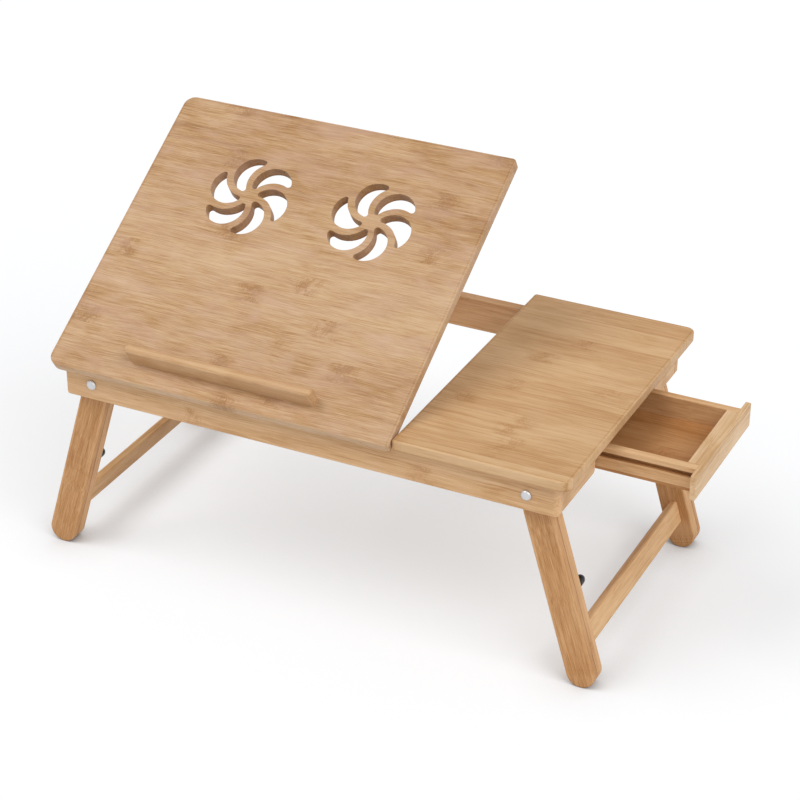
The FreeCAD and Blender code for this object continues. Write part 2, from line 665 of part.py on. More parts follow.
def stay_spacers():
    left = ring(5.5, BOLT_R + RUNNING, stay_pin(-RAIL_X), stay_pin(-RAIL_X + SPACER))
    right = ring(5.5, BOLT_R + RUNNING, stay_pin(CENTRE_RAIL[0] - SPACER), stay_pin(CENTRE_RAIL[0]))
    return lump([left, right])


def stay_clamp_knob():
    """A fluted hand knob on the outside of the left end rail."""
    seat = stay_pin(-HALF_LENGTH - 0.2)
    body = turned([(0, 0), (0, 6), (3, 6), (4, 10), (13, 10), (15, 8), (15.5, 0)], seat, X * -1)
    flutes = []
    for i in range(6):
        turn = math.radians(60 * i)
        offset = Vector(0, 12.2 * math.cos(turn), 12.2 * math.sin(turn))
        flutes.append(rod(4, seat + offset - X * 3.2, seat + offset - X * 20))
    body = body.cut(flutes)
    return body.cut(rod(BOLT_R + RUNNING, seat + X, seat - X * 13.2))


# ---- the whole stand ----------------------------------------------------------------------------
def four_corners(front_right):
    pair = [front_right, mirror_y(front_right)]
    return lump(pair + [mirror_x(one) for one in pair])


def leg_sets():
    """Leg pieces by name: the right ones are modelled, the left ones are mirrored."""
    bar = front_sliding_bar()
    pins = [guide_pin(GUIDE_PIN_AT), mirror_y(guide_pin(GUIDE_PIN_AT)), mirror_y(guide_pin(STUD_AT))]
    right = {"front_outer_leg": turning_bar(True), "rear_outer_leg": mirror_y(turning_bar(False)),
             "front_sliding_leg": bar, "rear_sliding_leg": mirror_y(bar), "leg_brace": brace(),
             "leg_insert": front_insert(), "leg_guide_pins": lump(pins),
             "front_clamp_knob": front_clamp_knob(), "front_clamp_stud": front_clamp_stud()}
    for what, shape in right.items():
        yield "right_" + what, shape
        yield "left_" + what, mirror_x(shape)
    yield "leg_pivot_bolts", four_corners(front_pivot_bolt())
    yield "leg_pivot_nuts", four_corners(front_pivot_nut())
    yield "leg_pivot_washers", four_corners(front_pivot_washer())


def frame_pieces():
    block_shape = right_front_block()
    runner = front_drawer_runner()
    return {"front_apron": front_apron(), "rear_apron": rear_apron(), "left_end_rail": left_end_rail(),
            "right_front_block": block_shape, "right_rear_block": mirror_y(block_shape),
            "centre_rail": centre_rail(), "frame_dowels": lump(dowels(DOWEL_R, 0)),
            "fixed_top": fixed_top(), "front_drawer_runner": runner, "rear_drawer_runner": mirror_y(runner)}


def drawer_pieces():
    side = drawer_side_front()
    return {"drawer_front_side": side, "drawer_rear_side": mirror_y(side),
            "drawer_front_wall": drawer_wall(FACE_X - STOCK, FACE_X, BOX[1]),
            "drawer_back_wall": drawer_wall(BOX_REAR, BOX_REAR + BACK_THICK, BOX[1] - 1.5),
            "drawer_bottom": drawer_bottom(), "drawer_face": drawer_face()}


def tilting_pieces():
    return {"tilting_top": tilting_top(), "ledge_bar": ledge_bar(), "ledge_screws": ledge_screws(),
            "hinge_lower_leaves": hinge_lower_leaves(), "hinge_upper_leaves": hinge_upper_leaves(),
            "hinge_pins": hinge_pins(),
            "left_stay_arm": stay_arm("left"), "right_stay_arm": stay_arm("right"),
            "stay_brackets": stay_brackets(), "stay_rivets": stay_rivets(), "stay_spacers": stay_spacers(),
            "stay_clamp_bolt": stay_clamp_bolt(), "stay_guide_screw": stay_guide_screw(),
            "stay_clamp_knob": stay_clamp_knob()}


def main():
    os.makedirs("parts", exist_ok=True)
    pieces = {**frame_pieces(), **drawer_pieces(), **tilting_pieces(), **dict(leg_sets())}
    for name, shape in pieces.items():
        save(name, shape)
    print(len(pieces), "pieces; stays turn", round(stay_ratio(), 5), "for each degree of tilt")


if __name__ == "__main__":
    main()
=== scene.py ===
"""Looks of a bamboo laptop stand: lacquered bamboo, plated steel fittings, black knobs, white studio."""

import json
import math

import bpy
from bpy.props import FloatProperty, FloatVectorProperty, PointerProperty
from mathutils import Euler, Matrix, Vector


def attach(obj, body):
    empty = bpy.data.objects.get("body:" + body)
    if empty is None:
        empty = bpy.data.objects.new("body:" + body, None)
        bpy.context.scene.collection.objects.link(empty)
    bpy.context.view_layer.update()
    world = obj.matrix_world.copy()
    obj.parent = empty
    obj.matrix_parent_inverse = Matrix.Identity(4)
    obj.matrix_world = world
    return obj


bl_info = {
    "name": "Bamboo Laptop Stand",
    "version": (1, 0, 0),
    "blender": (4, 5, 0),
    "location": "View3D > Sidebar > Laptop Stand",
    "description": "Finishes for a bamboo laptop stand with a drawer, and the studio it stands in",
    "category": "Object",
}

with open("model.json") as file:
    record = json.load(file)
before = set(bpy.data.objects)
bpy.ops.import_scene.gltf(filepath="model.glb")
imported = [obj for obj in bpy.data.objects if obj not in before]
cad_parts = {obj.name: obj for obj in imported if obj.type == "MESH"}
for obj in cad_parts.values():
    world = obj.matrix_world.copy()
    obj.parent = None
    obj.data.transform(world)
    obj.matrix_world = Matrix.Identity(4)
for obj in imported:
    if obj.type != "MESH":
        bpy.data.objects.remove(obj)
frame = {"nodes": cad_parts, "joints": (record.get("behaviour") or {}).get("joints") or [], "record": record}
NODES = frame["nodes"]
JOINTS = {joint["name"]: joint for joint in frame["joints"]}
MM = 0.001
CAMERA_PLACE = (0.89526, -1.84367, 1.32093)

# the tilting top's slope, and the splay of the open legs, read from the mounts and joints
TILT_MOUNT = next(m for m in frame["record"]["mounts"] if m["name"] == "tilting_top_surface")
TILT = math.atan2(-TILT_MOUNT["axis"][1], TILT_MOUNT["axis"][2])
LEG_UP = JOINTS["right_legs_extend"]["axis"]
SPLAY = math.atan2(-LEG_UP[0], LEG_UP[2])


# ---- settings ---------------------------------------------------------------------------------
def colour_setting(name, description, default):
    return FloatVectorProperty(name=name, description=description, subtype="COLOR", size=3, min=0, max=1,
                               default=default)


class BambooSettings(bpy.types.PropertyGroup):
    """Colours and grain of the bamboo."""
    pale: colour_setting("Pale fibre", "Lightest tone of the lacquered bamboo", (0.74, 0.55, 0.36))
    light: colour_setting("Light tone", "Tone of the lighter fibres", (0.64, 0.425, 0.245))
    warm: colour_setting("Warm tone", "Tone of the darker fibres", (0.48, 0.27, 0.118))
    dark: colour_setting("Dark fibre", "Tone of knots and of the darkest streaks", (0.27, 0.12, 0.045))
    blush: colour_setting("Blush", "Pinkish tone of the steamed patches", (0.67, 0.45, 0.35))
    strip_width: FloatProperty(name="Strip width", description="Width of one laminated strip",
                               default=21 * MM, unit="LENGTH")
    knot_pitch: FloatProperty(name="Knot spacing", description="Length of stem between two knots",
                              default=255 * MM, unit="LENGTH")
    roughness: FloatProperty(name="Roughness", description="Roughness of the satin lacquer", default=0.5,
                             subtype="FACTOR", min=0, max=1)


class FittingSettings(bpy.types.PropertyGroup):
    """Colours of metal and plastic fittings."""
    steel: colour_setting("Steel", "Colour of the plated steel", (0.7, 0.7, 0.71))
    brass: colour_setting("Brass", "Colour of the threaded inserts", (0.65, 0.45, 0.18))
    knob: colour_setting("Knob", "Colour of the thumb knobs", (0.006, 0.006, 0.007))
    bracket_foot: FloatProperty(name="Bracket foot", description="Width of a stay bracket's foot in mm",
                                default=17.0)
    bracket_thickness: FloatProperty(name="Bracket thickness", description="Thickness of that foot in mm",
                                     default=1.5)


class StageSettings(bpy.types.PropertyGroup):
    """Camera, lamps and floor."""
    camera_place: FloatVectorProperty(name="Camera place", description="Where the camera stands",
                                      subtype="TRANSLATION", size=3, default=CAMERA_PLACE)
    camera_turn: FloatVectorProperty(name="Camera turn", description="How the camera is turned",
                                     subtype="EULER", size=3,
                                     default=tuple(math.radians(a) for a in (60.801, -0.209, 26.087)))
    lens: FloatProperty(name="Lens", description="Focal length in mm on a 36 mm sensor", default=105.29)
    floor: colour_setting("Floor", "Colour of the floor", (0.95, 0.972, 1.0))
    whiteness: FloatProperty(name="Whiteness", description="How far the floor's shadows fade to white",
                             default=0.55, subtype="FACTOR", min=0, max=1)
    left_light: FloatProperty(name="Left light", description="Strength of the soft light from the front left",
                              default=1.3)
    right_light: FloatProperty(name="Right light", description="Strength of the soft light from the right",
                               default=1.5)
    sky: FloatProperty(name="Sky", description="Strength of the even light from all round", default=0.4)


# ---- shader maths -----------------------------------------------------------------------------
class Wire:
    """A shader socket that takes part in Python sums by adding Math nodes."""

    def __init__(self, tree, socket):
        self.tree = tree
        self.socket = socket

    def math(self, operation, *others, swap=False):
        node = self.tree.nodes.new("ShaderNodeMath")
        node.operation = operation
        values = (others[0], self) if swap else (self,) + others
        for place, value in zip(node.inputs, values):
            connect(self.tree, place, value)
        return Wire(self.tree, node.outputs[0])

    def __add__(self, other):
        return self.math("ADD", other)

    def __radd__(self, other):
        return self.math("ADD", other)

    def __sub__(self, other):
        return self.math("SUBTRACT", other)

    def __rsub__(self, other):
        return self.math("SUBTRACT", other, swap=True)

    def __mul__(self, other):
        return self.math("MULTIPLY", other)

    def __rmul__(self, other):
        return self.math("MULTIPLY", other)

    def __truediv__(self, other):
        return self.math("DIVIDE", other)

    def __neg__(self):
        return self.math("MULTIPLY", -1.0)

    def __abs__(self):
        return self.math("ABSOLUTE")

    def floor(self):
        return self.math("FLOOR")

    def fraction(self):
        return self.math("FRACT")

    def above(self, edge):
        return self.math("GREATER_THAN", edge)

    def smallest(self, other):
        return self.math("MINIMUM", other)

    def largest(self, other):
        return self.math("MAXIMUM", other)

    def clamped(self):
        """Kept between 0 and 1."""
        return self.largest(0.0).smallest(1.0)

    def power(self, exponent):
        return self.math("POWER", exponent)

    def fade(self, width):
        """1 at zero, falling to 0 within a width on each side."""
        return (1 - abs(self) / width).largest(0.0)


def connect(tree, place, value):
    if isinstance(value, Wire):
        tree.links.new(value.socket, place)
    elif hasattr(place.default_value, "__len__") and not hasattr(value, "__len__"):
        place.default_value = (value,) * len(place.default_value)
    elif hasattr(place.default_value, "__len__"):
        place.default_value = tuple(value) + (1.0,) * (len(place.default_value) - len(value))
    else:
        place.default_value = value


class Finish:
    """A material whose nodes are added by one method."""

    def __init__(self, name):
        self.material = bpy.data.materials.new(name)
        self.material.use_nodes = True
        self.tree = self.material.node_tree
        self.shader = self.tree.nodes["Principled BSDF"]

    def node(self, kind, settings=None, output=0, stops=None, **inputs):
        """Adds a node, sets it up, and gives back one of its outputs as a Wire."""
        node = self.tree.nodes.new("ShaderNode" + kind)
        for key, value in (settings or {}).items():
            setattr(node, key, value)
        if stops is not None:
            ramp = node.color_ramp
            while len(ramp.elements) < len(stops):
                ramp.elements.new(0.5)
            for element, (place, colour) in zip(ramp.elements, stops):
                element.position = place
                element.color = tuple(colour) + (1.0,)
        for key, value in inputs.items():
            connect(self.tree, node.inputs[key], value)
        return Wire(self.tree, node.outputs[output])

    def place(self, centre=(0, 0, 0), turn=(0, 0, 0)):
        """Coordinates in millimetres of a piece that is centred and turned so that its grain runs along x."""
        coordinates = self.node("TexCoord", output="Object")
        return self.node("Mapping", {"vector_type": "TEXTURE"}, Vector=coordinates, Location=centre,
                         Rotation=turn, Scale=(MM, MM, MM))

    def axes(self, vector):
        first = self.node("SeparateXYZ", Vector=vector)
        return [Wire(self.tree, socket) for socket in first.socket.node.outputs]

    def vector(self, x, y, z):
        return self.node("CombineXYZ", X=x, Y=y, Z=z)

    def noise(self, vector, detail=2.0, scale=1.0, roughness=0.5, distortion=0.0):
        """Noise about zero, from about -0.5 to 0.5."""
        return self.node("TexNoise", Vector=vector, Scale=scale, Detail=detail, Roughness=roughness,
                         Distortion=distortion) - 0.5

    def random(self, x, y, z):
        """Three random numbers for a cell."""
        cell = self.vector(x, y, z)
        colour = self.node("TexWhiteNoise", {"noise_dimensions": "3D"}, output="Color", Vector=cell)
        first = self.node("SeparateColor", Color=colour)
        return [Wire(self.tree, socket) for socket in first.socket.node.outputs]

    def mix(self, factor, below, above, blend="MIX"):
        mixed = self.node("Mix", {"data_type": "RGBA", "blend_type": blend}, output=2, Factor=factor)
        inputs = mixed.socket.node.inputs
        connect(self.tree, inputs[6], below)
        connect(self.tree, inputs[7], above)
        return mixed

    def ramp(self, value, stops):
        return self.node("ValToRGB", stops=stops, Fac=value)

    def set(self, **values):
        for key, value in values.items():
            connect(self.tree, self.shader.inputs[key.replace("_", " ")], value)

    def bump(self, height, distance, strength=1.0):
        self.set(Normal=self.node("Bump", Height=height, Distance=distance, Strength=strength))


class Sky(Finish):
    """The world's light, set up by the same methods as a material."""

    def __init__(self, world):
        self.tree = world.node_tree
        self.shader = self.tree.nodes["Background"]


# ---- bamboo -----------------------------------------------------------------------------------
MIDDLE_TONE = 0.52            # on the scale from dark fibre, 0, to pale fibre, 1
STRIP_SPREAD = 0.14           # how much strips differ in tone
STREAK_DEPTH = 0.2            # how dark the streaks, knots and seams are
KNOT_DEPTH = 0.55
SEAM_DEPTH = 0.06
SEAM_WIDTH = 1.1              # mm
LAYER = 60.0                  # thickness of a layer of strips, mm, more than any board's
KNOT_REACH = 19.0             # half the length of a knot's smudge, mm
KNOT_SWAY = 22                # how far a knot wanders along its strip, mm
KNOT_LINES = 4.6              # contrast of the lines across a knot
KNOT_WARMTH = 0.62
KNOTLESS_SHARE = 0.25         # share of the strips that show no knot


def extents(name, turn):
    """Lowest and highest coordinates of a piece, in millimetres, along and across its grain."""
    back = Euler(turn).to_matrix().inverted()
    points = [back @ vertex.co / MM for vertex in NODES[name].data.vertices]
    return [(min(p[axis] for p in points), max(p[axis] for p in points)) for axis in range(3)]


def painted_edge_light(axes, ends, painted_light_bands):
    """Painted highlights and painted shade: lighter or darker strips along a piece's edges, given as axis,
    which end, how far in, half width and tone.
    """
    tone = 0.0
    for axis, end, inward, width, amount in painted_light_bands:
        place = ends[axis][end] + (inward if end == 0 else -inward)
        tone = (axes[axis] - place).fade(width) * amount + tone
    return tone


def burnt_and_shaded_walls(axes, ends, insets):
    """1 on the walls of an opening or a groove, found by how far in they lie from each end of the piece;
    there the bamboo is darkened as painted shade, and in the vents also as burnt-dark cut walls.
    """
    inner = 1.0
    for coordinate, (low, high), (low_inset, high_inset) in zip(axes, ends, insets):
        inner = (coordinate - low).above(low_inset) * (high - coordinate).above(high_inset) * inner
    return inner


def knots_of(finish, along, across, pitch, seed, chances):
    """Stem nodes: at random places along each strip, a soft smudge crossed by short curved lines."""
    first, second, third = chances
    local = (along / (pitch * (0.7 + second * 0.6)) + third * 5 + first * 3).fraction() - 0.5
    sway = finish.noise(finish.vector(along * 0.04, across * 0.11, seed), detail=2.0)
    offset = local * pitch + sway * KNOT_SWAY
    blotch = finish.noise(finish.vector(along * 0.07, across * 0.12, seed + 8), detail=4.0, roughness=0.6)
    lines = finish.noise(finish.vector(offset * 0.75, across * 0.12 + sway * 3, seed + 4), detail=4.0,
                         roughness=0.75, distortion=0.6)
    smudge = offset.fade(KNOT_REACH).power(1.2) * (0.5 + blotch * 3.0).clamped()
    shown = ((third - KNOTLESS_SHARE) * 2.5).clamped()
    return smudge * (0.5 + lines * KNOT_LINES).clamped() * shown


def strips_of(finish, axes, strip, seed):
    """Strips glued side by side: each one's random chances, the seams between them, and their wander."""
    along, across, thick = axes
    wander = finish.noise(finish.vector(along * 0.006, across * 0.02, seed), detail=1.0)
    cell = across / strip + seed * 3.37 + wander * 0.03
    deck = (thick / LAYER + 0.5 + seed).floor()
    chances = finish.random(cell.floor(), deck, seed + 0.5)
    seam = ((cell.fraction() - 0.5).math("ABSOLUTE") * 2 - (1 - SEAM_WIDTH / strip)) * strip
    return chances, seam.clamped(), wander


def fibres_of(finish, axes, chances, wander, seed):
    """Long noise at three widths, which differs from strip to strip."""
    along, across, thick = axes
    first, second, _ = chances
    drift = across + wander * 4 + finish.noise(finish.vector(along * 0.016, across * 0.05, seed + 2)) * 5
    broad = finish.noise(finish.vector(along * 0.009, drift * 0.26, thick * 0.26 + first * 40), detail=4.0,
                         roughness=0.62)
    fibre = finish.noise(finish.vector(along * 0.016, drift * 0.8, thick * 0.8 + second * 40), detail=4.0,
                         roughness=0.72)
    hair = finish.noise(finish.vector(along * 0.035, drift * 2.2, thick * 2.2 + seed), detail=3.0,
                        roughness=0.65)
    return broad, fibre, hair


def patches_of(finish, axes, seed):
    """Lighter and darker clouds, and the haze of pinkish patches."""
    along, across, thick = axes
    cloud = finish.noise(finish.vector(along * 0.011, across * 0.028, thick * 0.03 + seed * 7), detail=4.0,
                         roughness=0.6, distortion=0.7)
    haze = finish.noise(finish.vector(along * 0.016 + 9, across * 0.042, seed * 5 + 3), detail=5.0,
                        roughness=0.62, distortion=0.9)
    return cloud, haze


def bamboo(name, turn=(0, 0, 0), seed=0.0, strip=None, tone=0.0, blush=0.35, patch=1.0, knots=1.0, fine=0.55,
           tint=(1, 1, 1), piece=None, painted_light_bands=(), walls=None, wall_burn_and_shade=0.28):
    """Laminated bamboo: strips side by side, each with its own tone, fibres and knots."""
    look = bpy.context.scene.bamboo_look
    strip = (strip or look.strip_width) / MM
    finish = Finish(name)
    axes = finish.axes(finish.place(turn=turn))
    chances, seam, wander = strips_of(finish, axes, strip, seed)
    broad, fibre, hair = fibres_of(finish, axes, chances, wander, seed)
    cloud, haze = patches_of(finish, axes, seed)
    knot = knots_of(finish, axes[0], axes[1], look.knot_pitch / MM, seed, chances)
    streak = ((fibre - 0.09) * 7).clamped() * ((broad + 0.12) * 5).clamped()

    value = MIDDLE_TONE + tone + (chances[0] - 0.5) * STRIP_SPREAD + broad * 0.5 + fibre * 0.72 + hair * fine
    value = value + cloud * 0.5 * patch - streak * STREAK_DEPTH
    value = value - knot * KNOT_DEPTH * knots - seam * SEAM_DEPTH
    # along the edges, painted highlights and painted shade; on the walls of openings and grooves, painted
    # shade, and in the vents also burnt-dark cut walls
    if piece:
        ends = extents(piece, turn)
        value = value + painted_edge_light(axes, ends, painted_light_bands)
        if walls:
            value = value - burnt_and_shaded_walls(axes, ends, walls) * wall_burn_and_shade
    body = finish.ramp(value, [(0.0, look.dark), (0.36, look.warm), (0.64, look.light), (1.0, look.pale)])
    body = finish.mix((knot * KNOT_WARMTH * knots).smallest(0.85), body, look.warm)
    rosy = (haze * 4.0 + 0.32).clamped() * blush
    blushed = finish.mix(rosy, body, finish.mix(0.5, body, look.blush))
    finish.set(Base_Color=finish.mix(1.0, blushed, tint, blend="MULTIPLY"), IOR=1.5, Specular_IOR_Level=0.22,
               Roughness=look.roughness + fibre * 0.18 + haze * 0.1)
    finish.bump(fibre * 0.5 + hair * 0.4 - seam * 0.2 - knot * 0.2, 0.0002, 0.5)
    return finish.material


GRAIN_Y = (0, 0, math.pi / 2)          # grain along y
LEG_TINT = (0.96, 0.82, 0.66)          # the legs' bamboo is darker and more orange

# painted highlights and painted shade along edges, as axis (0 along, 1 across, 2 through), end, how far in,
# half width and tone
# boards: a painted shade line just inside each rounded arris, a painted highlight on the edge faces, and a
# painted shadow line along the lower edge
BOARD_PAINTED_LIGHT = [(axis, end, *band) for axis in (0, 1) for end in (0, 1)
               for band in ((2.4, 1.3, -0.14), (0.0, 1.5, 0.12))] + [(2, 0, 1.3, 1.0, -0.25)]
# painted shade: the tilting top darkens towards its upper edge, where the light falls off
PAINTED_UPPER_SHADE = [(1, 1, 0.0, 190.0, -0.1)]

# how far the walls of openings lie in from the ends along, across and through a piece
# vents: walls darkened as burnt-dark cut walls and as painted shade inside the slots
VENT_BURN_AND_SHADE_WALLS = ((20.0, 20.0), (20.0, 20.0), (0.4, 0.4))
# the drawer sides' groove: walls darkened as painted shade
GROOVE_PAINTED_SHADE_WALLS = ((-1.0, -1.0), (0.4, 0.4), (11.1, 5.5))
# ledge: a painted highlight along its top and painted shade on its front face, which faces down
LEDGE_PAINTED_LIGHT = [(1, 1, 6.0, 6.0, 0.1), (1, 0, 0.0, 1.2, -0.03)]
# legs: painted highlights on the rounded arrises at both sides, and a painted shade line along the gap
# between the outer and the sliding bar
OUTER_LEG_PAINTED_LIGHT = [(2, 0, 1.6, 2.2, 0.16), (2, 1, 1.6, 2.2, 0.16), (1, 1, 0.0, 1.1, -0.45)]
SLIDING_LEG_PAINTED_LIGHT = [(2, 0, 0.0, 1.5, 0.1), (2, 1, 0.0, 1.5, 0.1), (1, 0, 0.0, 0.9, -0.3)]


def dress(material, *nodes):
    for name in nodes:
        mesh = NODES[name].data
        mesh.materials.clear()
        mesh.materials.append(material)
        for face in mesh.polygons:
            face.material_index = 0


class STAND_OT_tops(bpy.types.Operator):
    """Finish the fixed top, the tilting top and its ledge in bamboo"""
    bl_idname = "stand.tops"
    bl_label = "Tops and ledge"

    def execute(self, context):
        dress(bamboo("bamboo_fixed_top", seed=1.0, blush=0.2, patch=0.8, tint=(0.96, 0.92, 0.83),
                     piece="fixed_top", painted_light_bands=BOARD_PAINTED_LIGHT), "fixed_top")
        raised = (TILT, 0, 0)
        dress(bamboo("bamboo_tilting_top", turn=raised, seed=2.0, blush=0.9, patch=1.3, knots=2.2, fine=1.5,
                     tint=(0.86, 0.84, 0.8), piece="tilting_top", painted_light_bands=BOARD_PAINTED_LIGHT + PAINTED_UPPER_SHADE,
                     walls=VENT_BURN_AND_SHADE_WALLS, wall_burn_and_shade=0.17),
              "tilting_top")
        dress(bamboo("bamboo_ledge", turn=raised, seed=3.0, blush=0.3, strip=30 * MM, tint=(0.92, 0.87, 0.8),
                     piece="ledge_bar", painted_light_bands=LEDGE_PAINTED_LIGHT), "ledge_bar")
        return {"FINISHED"}


class STAND_OT_table_frame(bpy.types.Operator):
    """Finish the aprons, rails and drawer runners in bamboo"""
    bl_idname = "stand.table_frame"
    bl_label = "Table frame"

    def execute(self, context):
        lying = (math.pi / 2, 0, 0)
        # the front apron's tint, lighter than the rear apron's, is painted light on its front face
        for row, seed, tint in (("front", 4.0, (1.09, 1.03, 0.94)), ("rear", 4.4, (0.97, 0.87, 0.76))):
            dress(bamboo(f"bamboo_{row}_apron", turn=lying, seed=seed, tone=0.03, blush=0.25, strip=18 * MM,
                         fine=0.95, tint=tint), row + "_apron")
        dress(bamboo("bamboo_rails", turn=GRAIN_Y, seed=5.0, tone=0.05, blush=0.2, tint=(1.0, 0.95, 0.87)),
              "left_end_rail", "centre_rail", "right_front_block", "right_rear_block", "frame_dowels")
        dress(bamboo("bamboo_runners", seed=6.0, tone=-0.05, blush=0.2), "front_drawer_runner",
              "rear_drawer_runner")
        return {"FINISHED"}


class STAND_OT_drawer(bpy.types.Operator):
    """Finish the drawer in bamboo"""
    bl_idname = "stand.drawer"
    bl_label = "Drawer"

    def execute(self, context):
        for number, row in enumerate(("front", "rear")):
            piece = f"drawer_{row}_side"
            # the sides' groove gets painted shade
            dress(bamboo("bamboo_" + piece, seed=7.0 + number * 0.6, tone=0.04, blush=0.1, strip=14 * MM,
                         tint=(1, 0.93, 0.82), piece=piece, walls=GROOVE_PAINTED_SHADE_WALLS), piece)
        # the drawer floor's dark tint is partly its own colour and partly painted shade inside the drawer
        dress(bamboo("bamboo_drawer_floor", seed=8.0, blush=0.0, patch=1.4, tint=(0.7, 0.52, 0.35)),
              "drawer_bottom")
        dress(bamboo("bamboo_drawer_ends", turn=GRAIN_Y, seed=9.0, tone=0.03, blush=0.1, strip=14 * MM,
                     tint=(1.07, 1.11, 1.12)), "drawer_face", "drawer_front_wall", "drawer_back_wall")
        return {"FINISHED"}


class STAND_OT_legs(bpy.types.Operator):
    """Finish the folding legs and their braces in bamboo"""
    bl_idname = "stand.legs"
    bl_label = "Legs"

    def execute(self, context):
        for number, (side, way) in enumerate((("right", 1), ("left", -1))):
            turn = (0, math.pi / 2 - way * SPLAY, 0)
            for row in ("front", "rear"):
                # each bar's tone; the sliding bars, which make up most of the legs' sides, are lifted as
                # painted light on those sides
                for part, side_light_lift, painted_light_bands in (("outer", -0.06, OUTER_LEG_PAINTED_LIGHT), ("sliding", 0.03, SLIDING_LEG_PAINTED_LIGHT)):
                    seed = 10.0 + number * 2.3 + len(row) + len(part) * 0.37
                    if row == "rear":
                        painted_light_bands = [(axis, 1 - end, *rest) if axis == 1 else (axis, end, *rest)
                                 for axis, end, *rest in painted_light_bands]
                    piece = f"{side}_{row}_{part}_leg"
                    wood = bamboo(f"bamboo_{side}_{row}_{part}", turn=turn, seed=seed, tone=side_light_lift, blush=0.15,
                                  knots=0.6, fine=1.2, strip=16 * MM, tint=LEG_TINT, piece=piece, painted_light_bands=painted_light_bands)
                    dress(wood, piece)
            dress(bamboo(f"bamboo_{side}_brace", turn=GRAIN_Y, seed=20.0 + number, tone=0.02, blush=0.1,
                         tint=(1.1, 1.03, 0.9)), f"{side}_leg_brace")
        return {"FINISHED"}


# ---- fittings ---------------------------------------------------------------------------------
def plated_steel():
    """Zinc-plated steel with fine wear marks."""
    finish = Finish("plated_steel")
    place = finish.place()
    cloud = finish.noise(place, scale=0.12, detail=3.0)
    scratch = finish.noise(place, scale=2.5, detail=4.0, roughness=0.7)
    look = bpy.context.scene.fitting_look
    dull = tuple(c * 0.82 for c in look.steel)
    finish.set(Base_Color=finish.mix(cloud + 0.5, look.steel, dull), Metallic=1.0,
               Roughness=0.42 + cloud * 0.15 + scratch * 0.08)
    finish.bump(scratch, 0.00006, 0.4)
    return finish.material


def turned_brass():
    finish = Finish("turned_brass")
    place = finish.place()
    marks = finish.noise(place, scale=1.8, detail=3.0)
    look = bpy.context.scene.fitting_look
    dull = tuple(c * 0.7 for c in look.brass)
    finish.set(Base_Color=finish.mix(marks + 0.5, look.brass, dull), Metallic=1.0,
               Roughness=0.34 + marks * 0.1)
    return finish.material


def knob_plastic():
    """Moulded black plastic, a little dusty."""
    finish = Finish("knob_plastic")
    place = finish.place()
    grain = finish.noise(place, scale=3.0, detail=3.0)
    dust = finish.noise(place, scale=0.25, detail=3.0)
    look = bpy.context.scene.fitting_look
    finish.set(Base_Color=finish.mix((dust + 0.1).largest(0.0), look.knob, (0.03, 0.03, 0.03)),
               Roughness=0.24 + dust * 0.1, Specular_IOR_Level=0.25)
    finish.bump(grain, 0.00005, 0.5)
    return finish.material


class STAND_OT_fittings(bpy.types.Operator):
    """Finish the hinges, bolts, stays, inserts and knobs"""
    bl_idname = "stand.fittings"
    bl_label = "Fittings"

    def execute(self, context):
        groups = {"bright_steel": plated_steel(), "brass_inserts": turned_brass(),
                  "black_plastic": knob_plastic()}
        for part in frame["record"]["subparts"]:
            if part["material_slot"] in groups:
                dress(groups[part["material_slot"]], part["node"])
        return {"FINISHED"}


# ---- small fasteners ----------------------------------------------------------------------------
def select_only(thing):
    bpy.ops.object.select_all(action="DESELECT")
    thing.select_set(True)
    bpy.context.view_layer.objects.active = thing


def select_faces(thing, wanted):
    """Selects, in edit mode, the faces that a test on their centre and normal picks."""
    bpy.ops.mesh.select_mode(type="FACE")
    bpy.ops.mesh.select_all(action="DESELECT")
    bpy.ops.object.mode_set(mode="OBJECT")
    for face in thing.data.polygons:
        face.select = wanted(face.center, face.normal)
    bpy.ops.object.mode_set(mode="EDIT")


def cross_cutter(radius, depth):
    """The tip of a cross-head driver: a square peg with an arm pulled out of each side."""
    width = radius * 0.24
    bpy.ops.mesh.primitive_cube_add(size=1, location=(0, 0, 0))
    cutter = bpy.context.object
    bpy.ops.object.mode_set(mode="EDIT")
    bpy.ops.transform.resize(value=(width, width, depth * 2))
    for axis, sign in ((0, 1), (0, -1), (1, 1), (1, -1)):
        select_faces(cutter, lambda centre, normal: (normal[axis] * sign > 0.9
                                                     and abs(centre[1 - axis]) < width / 4))
        pull = [0, 0, 0]
        pull[axis] = sign * radius * 0.5
        bpy.ops.mesh.extrude_region_move(TRANSFORM_OT_translate={"value": pull})
    bpy.ops.object.mode_set(mode="OBJECT")
    return cutter


def screw_head(radius, height, crown):
    """A screw's head that sits on z = 0: a crowned disc with a cross recess."""
    bpy.ops.object.select_all(action="DESELECT")
    bpy.ops.mesh.primitive_cylinder_add(vertices=28, radius=radius, depth=height, location=(0, 0, height / 2))
    head = bpy.context.object
    bpy.ops.object.transform_apply(location=True, rotation=True, scale=True)
    bpy.ops.object.mode_set(mode="EDIT")
    for step in (0.16, 0.2):
        select_faces(head, lambda centre, normal: normal.z > 0.9 and centre.xy.length < radius * 0.05)
        bpy.ops.mesh.inset(thickness=radius * step)
        bpy.ops.transform.translate(value=(0, 0, crown * height * (0.32 - step)))
    bpy.ops.object.mode_set(mode="OBJECT")
    cutter = cross_cutter(radius, height * 0.45)
    cutter.data.transform(Matrix.Translation((0, 0, height)))
    cut = head.modifiers.new("recess", "BOOLEAN")
    cut.object = cutter
    select_only(head)
    bpy.ops.object.modifier_apply(modifier=cut.name)
    bpy.data.objects.remove(cutter)
    bpy.ops.object.shade_smooth_by_angle(angle=math.radians(35))
    return head


